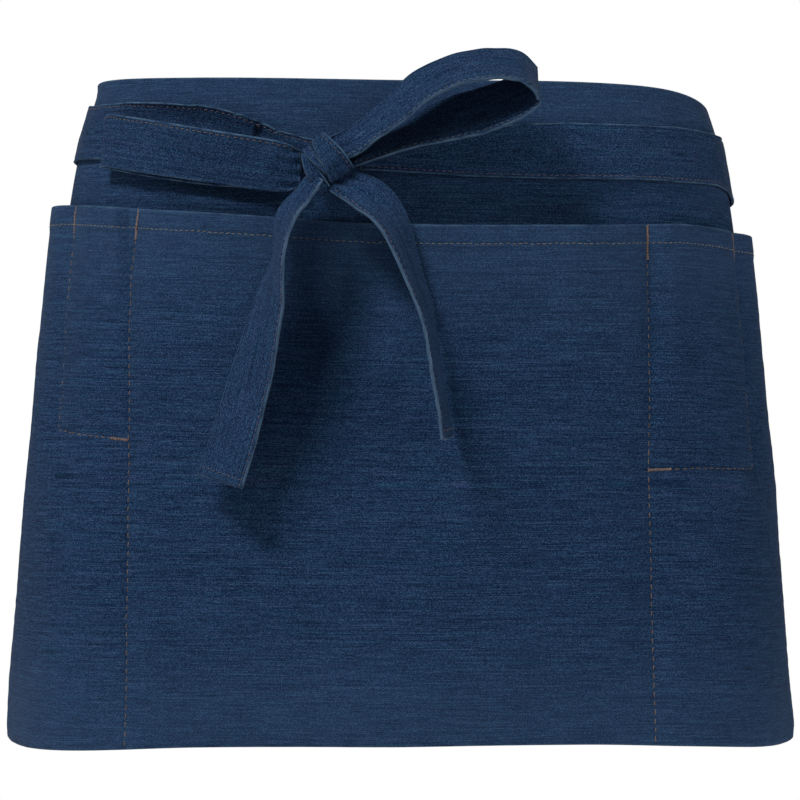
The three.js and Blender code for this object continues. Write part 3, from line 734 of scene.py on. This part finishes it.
tie_denim = denim(
    "tie_denim",
    deep=(0.0022, 0.0083, 0.027, 1),
    middle=(0.0105, 0.0294, 0.08, 1),
    pale=(0.045, 0.09, 0.18, 1),
    # edge is a pale line on every edge, partly wear and partly painted highlight.
    edge=(0.095, 0.165, 0.25, 1),
    edge_width=0.5,
    slub=0.6,
    fleck=1.15,
)


class Strap:
    """A strap along a line of centres: across is the direction of its width, half its half width in mm."""

    def __init__(self, centre, across, half, seed, gathers=(0, 0), thickness=tie_thickness, curl=0):
        self.centre = centre
        self.along = lengths_of(centre)
        ahead = unit(np.gradient(centre, axis=0))
        self.across = unit(across - ahead * np.sum(across * ahead, -1, keepdims=True))
        self.out = np.cross(ahead, self.across)
        self.half = np.broadcast_to(half, self.along.shape)
        self.seed = seed
        self.gathers = gathers
        self.thickness = thickness
        self.curl = np.broadcast_to(curl, self.along.shape)

    def lift(self, v):
        """How far waves along the strap, and gathers by the knot, bend it out of its plane."""
        u = self.along[:, None] + 0 * v
        wave = strap_wave * rumple(self.seed, u, v, strap_wave_length)
        wave = wave + strap_crease * rumple(self.seed + 1, u, v, strap_crease_length)
        wave = wave + self.curl[:, None] * np.clip(v / self.half[:, None], 0, 1) ** 3
        for end, height in zip((0, self.along[-1]), self.gathers):
            pleats = np.cos(2 * np.pi * v / gather_pitch + 0.08 * u + self.seed)
            wave = wave + height * pleats * np.exp(-np.abs(u - end) / gather_reach)
        return wave

    def face(self, v, side):
        """Points of one face at distances v across the strap, and their depths in from its edge."""
        half = self.half[:, None]
        v = np.clip(v, -half, half)
        u = self.along[:, None] + 0 * v
        depth = np.minimum(half - np.abs(v), np.minimum(u, self.along[-1] - u))
        groove = stitch_dent * np.exp(-(((np.abs(v) - (half - edge_stitch)) / stitch_dent_width) ** 2))
        thick = self.thickness / 2 * rounded(depth, self.thickness / 2) - groove * (depth > 1)
        reach = self.lift(v) + side * thick
        points = self.centre[:, None] + self.across[:, None] * v[..., None]
        points = points + self.out[:, None] * reach[..., None]
        return points, np.stack([u, v + 40 * side + 97 * self.seed, depth], -1)

    def mesh(self, name, material):
        share = 1 - 2 * crowd(tie_width, 1.6, edge_stitch, tie_width - edge_stitch) / tie_width
        v = self.half[:, None] * share[None]
        top, top_cloth = self.face(v, 1)
        bottom, bottom_cloth = self.face(v, -1)
        piece = loft(name, there_and_back(top, bottom), there_and_back(top_cloth, bottom_cloth), material)
        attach(piece, "root")
        return piece

    def row(self, side, edge, depth=edge_stitch, start=3, end=3):
        """The line of a row of stitches near one edge, on one face."""
        v = edge * (self.half[:, None] - depth)
        keep = (self.along >= start) & (self.along <= self.along[-1] - end)
        return self.face(v, side)[0][keep, 0], side * self.out[keep]

    def rows(self, edge, **places):
        return [self.row(1, edge, **places), self.row(-1, edge, **places)]

    def row_across(self, before_end, side):
        """The line of a row of stitches square across the strap, before its end, on one face."""
        place = np.searchsorted(self.along, self.along[-1] - before_end)
        v = np.linspace(1 - self.half[place], self.half[place] - 1, 20)[None]
        points = self.face(v, side)[0][place]
        return points, side * self.out[place] + 0 * points


left_band_rows = table(
    "round upper lower lift",
    (0.62, 0.5, -0.5, -1.95),
    (0.69, 0.6, -0.4, -1.85),
    (0.75, 1.05, 0.05, -1.4),
    (0.8, 1.06, 0.06, -0.2),
    (0.86, 1.04, 0.04, 1.3),
    (0.93, 0.8, -0.2, 1.4),
    (1.0, 0.5, -0.5, 1.4),
    (1.1, 0.3, -0.7, 1.3),
    (1.2, 0.3, -0.7, 0.8),
    (1.33, 0.62, -0.38, 0.17),
    (1.5, 0.78, -0.28, 0.17),
    (1.62, 0.67, -0.3, 0.17),
    (1.73, 0.59, -0.42, 0.17),
    (1.81, 0.43, -0.58, 0.17),
    (1.87, 0.07, -0.8, 0.17),
    (1.945, -0.25, -0.83, 0.17),
)
right_band_rows = table(
    "round upper lower lift",
    (0.62, 0.8, -0.2, -1.95),
    (0.69, 0.82, -0.18, -1.85),
    (0.8, 0.9, -0.1, -1.0),
    (0.9, 0.75, -0.25, -0.3),
    (1.0, 0.5, -0.5, 0.05),
    (1.1, 0.1, -0.9, 0.05),
    (1.15, -0.04, -1.04, 0.1),
    (1.25, -0.05, -1.05, 0.17),
    (1.33, 0.03, -0.97, 0.17),
    (1.5, 0.19, -1.04, 0.17),
    (1.6, 0.18, -0.8, 0.17),
    (1.69, 0.22, -0.76, 0.17),
    (1.82, 0.22, -0.76, 0.17),
    (1.91, 0.12, -0.75, 0.17),
    (1.98, -0.1, -0.68, 0.17),
    (2.045, -0.22, -0.62, 0.17),
)


curl_round = 1.76
curl_reach = 0.11
left_band_curl = 5


def half_outline(z):
    levels = np.round(np.asarray(z) / level_step).astype(int)
    return np.array([outline_of_level(level)[2][-1] for level in levels])


def band(rows, side, seed, curl=0):
    """A tie on the body, from its sewn root round the back to the knot. Curl turns its upper edge out."""
    row = between(rows, np.linspace(rows["round"][0], rows["round"][-1], 280))
    edges = []
    for share in ("upper", "lower"):
        z = tie_width * row[share]
        off = (row["lift"] + 0.5) * cad_tie_thickness
        edges.append(body_point(side * row["round"] * half_outline(z), z, off))
    across = edges[0] - edges[1]
    bulge = curl * np.exp(-(((row["round"] - curl_round) / curl_reach) ** 2))
    half = np.linalg.norm(across, axis=1) / 2
    return Strap((edges[0] + edges[1]) / 2, across, half, seed, (0, 0.5), curl=bulge)


left_band = band(left_band_rows, 1, 41, left_band_curl)
right_band = band(right_band_rows, -1, 43)
for strap, side, stood_for in ((left_band, "left", "tie_band_left"), (right_band, "right", "tie_band_right")):
    piece = strap.mesh("tie_" + side, tie_denim)
    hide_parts(stood_for)
stitches("left_tie_stitches", left_band.rows(1), mauve_thread, "denim_tie", 45, **tie_sewing)
stitches("right_tie_stitches", right_band.rows(-1), mauve_thread, "denim_tie", 46, **tie_sewing)

# The knot holds the two ties and their bow. The strap winds round it twice from the upper left to the lower
# right, and its wide outer turn shows its stitched edge.
knot_side = 34.5
knot_below = 15
knot_half_depth = 9.5
knot_root = body_point(-knot_side, -knot_below, cad_tie_thickness + 2 * clearance + knot_half_depth)
knot_a = np.array([0.8, 0, 0.6])
knot_b = np.array([0.6, 0, -0.8])
backward = np.array([0.0, 1, 0])


def knot_wrap(rows, seed, reach_b, reach_front, middle_b, thickness=tie_thickness):
    """A turn of the strap round the knot: turn is in degrees from its front, a and half place its width."""
    row = between(rows, np.linspace(rows["turn"][0], rows["turn"][-1], 60))
    turn = np.radians(row["turn"])[:, None]
    centre = (
        knot_root
        + knot_a * row["a"][:, None]
        + knot_b * (middle_b + reach_b * np.sin(turn))
        - backward * reach_front * np.cos(turn)
    )
    return Strap(centre, knot_a + 0 * centre, row["half"], seed, thickness=thickness)


wide_wrap = knot_wrap(
    table(
        "turn a half",
        (-135, 4.6, 3.4),
        (-80, 5.1, 3.6),
        (-30, 5.0, 4.8),
        (0, 4.9, 5.7),
        (40, 4.4, 6.3),
        (80, 3.6, 6.7),
        (135, 3.2, 6.0),
    ),
    51, 10.2, 9.6, -1.5,
)
middle_fold = knot_wrap(
    table(
        "turn a half",
        (-130, -1.6, 1.6),
        (-70, -2.2, 1.9),
        (-30, -2.5, 2.0),
        (10, -2.0, 1.5),
        (50, -0.5, 1.0),
    ),
    53, 9.6, 9.2, -1.5,
)
narrow_wrap = knot_wrap(
    table(
        "turn a half",
        (-135, -3.8, 2.0),
        (-70, -4.4, 2.3),
        (0, -6.6, 3.3),
        (45, -6.9, 3.1),
        (80, -6.4, 2.7),
        (135, -6.0, 2.4),
    ),
    55, 9.8, 7.8, 0.6,
)
knot_wraps = [
    (wide_wrap, "knot_wide_wrap"),
    (middle_fold, "knot_middle_fold"),
    (narrow_wrap, "knot_narrow_wrap"),
]
knot_pieces = [strap.mesh(name, tie_denim) for strap, name in knot_wraps]
for piece in knot_pieces:
    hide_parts("tie_knot")
knot_rows = [wide_wrap.row(side, 1, depth=1.9, start=12, end=12) for side in (1, -1)]
stitches("knot_stitches", knot_rows, mauve_thread, "denim_tie", 57, **tie_sewing)

core_a, core_b, core_deep = 9.5, 8.6, 7.6
core_rings, core_sides = 24, 32
core_end, core_shift = 0.06, 0.8
core_turn = np.linspace(core_end, np.pi - core_end, core_rings)[:, None, None]
core_angle = (2 * np.pi * (np.arange(core_sides) + 0.5) / core_sides)[None, :, None]
core_points = (
    knot_root
    + knot_a * (core_a * -np.cos(core_turn) - core_shift)
    + knot_b * core_b * np.sin(core_turn) * np.cos(core_angle)
    + backward * core_deep * np.sin(core_turn) * np.sin(core_angle)
)
core_cloth = np.stack([core_points[..., 0], core_points[..., 2], 5 + 0 * core_points[..., 0]], -1)
core = loft("knot_core", core_points, core_cloth, tie_denim)
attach(core, "root")
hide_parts("tie_knot")

# The bow has one standing loop to the right of the knot and one flat loop that lies over the left tie. Each
# is the same folded strap, gathered where it goes into the knot.
loop_length = 100
flat_loop_reach = 147

loop_rows = table(
    "along out up fore lean rise full",
    (0.0, 0.06, 0.02, 0.2, -0.36, 0.75, 0.5),
    (0.09, 0.162, 0.046, 0.3, -0.377, 0.73, 0.6),
    (0.17, 0.266, 0.126, 0.5, -0.414, 0.573, 0.65),
    (0.25, 0.378, 0.193, 0.7, -0.348, 0.632, 0.78),
    (0.33, 0.485, 0.287, 0.85, -0.176, 0.624, 0.92),
    (0.41, 0.631, 0.354, 0.95, 0.017, 0.614, 1.0),
    (0.49, 0.775, 0.381, 0.95, 0.1, 0.585, 1.0),
    (0.555, 0.889, 0.374, 0.93, 0.08, 0.56, 1.0),
    (0.6, 0.955, 0.342, 0.9, 0.02, 0.52, 1.0),
    (0.633, 0.988, 0.302, 0.83, 0.0, 0.58, 1.0),
    (0.667, 0.98, 0.264, 0.72, 0.0, 0.7, 1.0),
    (0.71, 0.892, 0.194, 0.6, 0.0, 0.82, 1.0),
    (0.78, 0.741, 0.137, 0.47, 0.0, 0.84, 1.0),
    (0.85, 0.599, 0.107, 0.42, 0.0, 0.8, 1.0),
    (0.91, 0.442, 0.078, 0.32, -0.071, 0.72, 0.9),
    (0.96, 0.262, 0.03, 0.13, -0.272, 0.67, 0.65),
    (1.0, 0.1, -0.02, -0.05, -0.45, 0.7, 0.38),
)
flat_loop_rows = table(
    "along reach middle lift tilt full",
    (0.0, 0.31, -0.62, 1.95, 0, 0.55),
    (0.16, 0.52, -0.5, 1.95, 0, 0.85),
    (0.34, 0.76, -0.28, 2.05, 0, 0.95),
    (0.485, 0.975, -0.06, 2.3, 0.1, 0.95),
    (0.5, 1.0, -0.04, 2.95, 0.2, 0.95),
    (0.515, 0.975, -0.02, 3.65, 0.3, 0.95),
    (0.64, 0.79, -0.19, 4.5, 1.1, 0.95),
    (0.78, 0.57, -0.4, 4.7, 1.6, 0.93),
    (0.9, 0.41, -0.55, 4.1, 1.2, 0.9),
    (0.96, 0.35, -0.6, 3.5, 0.8, 0.82),
    (1.0, 0.31, -0.6, 3.2, 0.3, 0.6),
)


def from_knot(x, fore, z):
    return knot_root + np.stack([x, -fore, z], -1)


def evened(values, reach):
    """A line of values with its kinks smoothed out over a few neighbours."""
    for _ in range(reach):
        middle = (values[:-2] + 2 * values[1:-1] + values[2:]) / 4
        values = np.concatenate([values[:1], middle, values[-1:]])
    return values


row = between(loop_rows, np.linspace(0, 1, 180))
loop_across = np.stack([row["lean"], np.sqrt(1 - row["lean"] ** 2 - row["rise"] ** 2), row["rise"]], -1)
loop_edge = from_knot(loop_length * row["out"], tie_width * row["fore"], loop_length * row["up"])
loop_half = tie_width * row["full"][:, None] / 2
loop_strap = Strap(
    evened(loop_edge + loop_across * loop_half, 4),
    evened(loop_across, 12),
    loop_half[:, 0],
    61,
    gathers=(0.6, 0.6),
)
loop_piece = loop_strap.mesh("bow_loop_standing", tie_denim)
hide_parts("bow_loop")
stitches("bow_loop_stitches", loop_strap.rows(-1), grey_thread, "denim_tie", 63, **tie_sewing)

row = between(flat_loop_rows, np.linspace(0, 1, 240))
flat_edges = []
for half_share in (0.5, -0.5):
    z = tie_width * (row["middle"] + half_share * row["full"])
    off = cad_tie_thickness * (row["lift"] + 2 * half_share * row["tilt"])
    flat_edges.append(body_point(-flat_loop_reach * row["reach"], z, off))
flat_strap = Strap(
    (flat_edges[0] + flat_edges[1]) / 2,
    evened(flat_edges[0] - flat_edges[1], 8),
    tie_width * row["full"] / 2,
    65,
    gathers=(0.5, 0.8),
)
flat_piece = flat_strap.mesh("bow_loop_lying", tie_denim)
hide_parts("bow_loop_flat")
stitches("flat_loop_stitches", flat_strap.rows(1), brown_thread, "denim_tie", 67, **tie_sewing)

# The two free ends of the ties hang in front of the pocket from under the knot, turning as they fall. Each
# end is folded in and sewn across.
left_tail_drop = 148
right_tail_drop = 128

left_tail_rows = table(
    "along out down fore turn full",
    (0.0, -0.03, 0.045, 0.14, 62, 0.5),
    (0.08, -0.07, 0.1, 0.27, 64, 0.75),
    (0.17, -0.115, 0.165, 0.42, 68, 0.95),
    (0.28, -0.14, 0.28, 0.6, 77, 1.0),
    (0.43, -0.17, 0.435, 0.64, 60, 1.0),
    (0.62, -0.216, 0.624, 0.58, 45, 1.0),
    (0.8, -0.267, 0.81, 0.47, 38, 1.0),
    (1.0, -0.326, 1.0, 0.46, 33, 1.0),
)
right_tail_rows = table(
    "along out down fore turn full",
    (0.0, 0.035, 0.055, 0.05, 25, 0.45),
    (0.1, 0.15, 0.105, 0.3, 38, 0.8),
    (0.2, 0.237, 0.195, 0.52, 55, 0.97),
    (0.33, 0.305, 0.355, 0.66, 69, 1.0),
    (0.5, 0.37, 0.54, 0.74, 75, 1.0),
    (0.65, 0.397, 0.69, 0.76, 81, 1.0),
    (0.83, 0.427, 0.87, 0.76, 80, 1.0),
    (1.0, 0.452, 1.0, 0.76, 77, 1.0),
)
end_hem = 5


def tail(rows, drop, side, seed):
    """A hanging end. Its width starts square to its fall in the picture, and turns backwards."""
    row = between(rows, np.linspace(0, 1, 110))
    middle = from_knot(drop * row["out"], tie_width * row["fore"], -drop * row["down"])
    flat = unit(np.cross(np.gradient(middle, axis=0), backward))
    turn = np.radians(row["turn"])[:, None]
    across = flat * side * np.cos(turn) + backward * np.sin(turn)
    return Strap(evened(middle, 10), across, tie_width * row["full"] / 2, seed, gathers=(0.8, 0))


left_tail = tail(left_tail_rows, left_tail_drop, -1, 71)
right_tail = tail(right_tail_rows, right_tail_drop, 1, 73)
for strap, side in ((left_tail, "left"), (right_tail, "right")):
    piece = strap.mesh("tail_" + side, tie_denim)
    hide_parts("tie_tail_" + side)
    rows = strap.rows(-1, end=0) + [strap.row_across(end_hem, 1), strap.row_across(end_hem, -1)]
    stitches("tail_" + side + "_stitches", rows, mauve_thread, "denim_tie", strap.seed + 4, **tie_sewing)

# The floor is a plain pale sheet well below the apron, which hangs as it is worn. The light is that of a
# studio: a large soft box high in front on the left, a low one on each side and one behind.
ground_drop = 0.75
ground_half = 3
ground = bpy.data.meshes.new("floor")
corners = [(ground_half * x, ground_half * y, -ground_drop) for x, y in ((-1, -1), (1, -1), (1, 1), (-1, 1))]
ground.from_pydata(corners, [], [(0, 1, 2, 3)])
floor = bpy.data.objects.new("floor", ground)
bpy.context.scene.collection.objects.link(floor)
paper = bpy.data.materials.new("pale_paper")
paper.use_nodes = True
paper.node_tree.nodes["Principled BSDF"].inputs["Base Color"].default_value = (0.8, 0.8, 0.8, 1)
paper.node_tree.nodes["Principled BSDF"].inputs["Roughness"].default_value = 0.8
ground.materials.append(paper)

world = bpy.data.worlds.new("studio")
world.use_nodes = True
sky = world.node_tree
sky.nodes.clear()
seen = node(sky, "ShaderNodeBackground", Color=(1, 1, 1, 1), Strength=1.0)
cast = node(sky, "ShaderNodeBackground", Color=(0.93, 0.97, 1, 1), Strength=0.016)
ray = node(sky, "ShaderNodeLightPath")
chosen = node(sky, "ShaderNodeMixShader", _0=ray.outputs["Is Camera Ray"])
sky.links.new(cast.outputs[0], chosen.inputs[1])
sky.links.new(seen.outputs[0], chosen.inputs[2])
out = sky.nodes.new("ShaderNodeOutputWorld")
sky.links.new(chosen.outputs[0], out.inputs[0])
bpy.context.scene.world = world


def soft_box(name, place, target, size, power):
    lamp = bpy.data.lights.new(name, "AREA")
    lamp.shape = "RECTANGLE"
    lamp.size, lamp.size_y = size
    lamp.energy = power
    piece = bpy.data.objects.new(name, lamp)
    piece.location = place
    aim = np.array(target) - np.array(place)
    down = np.arctan2(np.hypot(aim[0], aim[1]), -aim[2])
    piece.rotation_euler = (down, 0, np.arctan2(-aim[0], aim[1]))
    bpy.context.scene.collection.objects.link(piece)


middle_of_apron = (0, -0.1, -0.12)


def away(azimuth, elevation, distance):
    """A place that far from the middle of the apron, by angles round from its front and up from level."""
    round_from_front, up = np.radians(azimuth), np.radians(elevation)
    level = distance * np.cos(up)
    return (
        middle_of_apron[0] + level * np.sin(round_from_front),
        middle_of_apron[1] - level * np.cos(round_from_front),
        middle_of_apron[2] + distance * np.sin(up),
    )


soft_box("key_light", away(-42, 52, 4), middle_of_apron, (1.3, 0.7), 128)
soft_box("left_light", away(-70, 20, 1.95), middle_of_apron, (0.4, 1.1), 5)
soft_box("right_light", away(66, 16, 1.95), middle_of_apron, (0.4, 1.1), 13)
soft_box("back_light", away(180, 32, 2.6), middle_of_apron, (1.8, 1.0), 46)

# The camera looks level at the front of the apron, as the photograph does. The shown width is that of the
# picture at the middle of the waist, in metres.
camera_away = 1.9
camera_height = -0.125
shown_width = 0.4
lens = bpy.data.cameras.new("camera")
lens.sensor_width = 36
lens.lens = lens.sensor_width * camera_away / shown_width
camera = bpy.data.objects.new("camera", lens)
camera.location = (0, -camera_away, camera_height)
camera.rotation_euler = (np.pi / 2, 0, 0)
bpy.context.scene.collection.objects.link(camera)
bpy.context.scene.camera = camera
bpy.context.scene.view_settings.view_transform = "Standard"
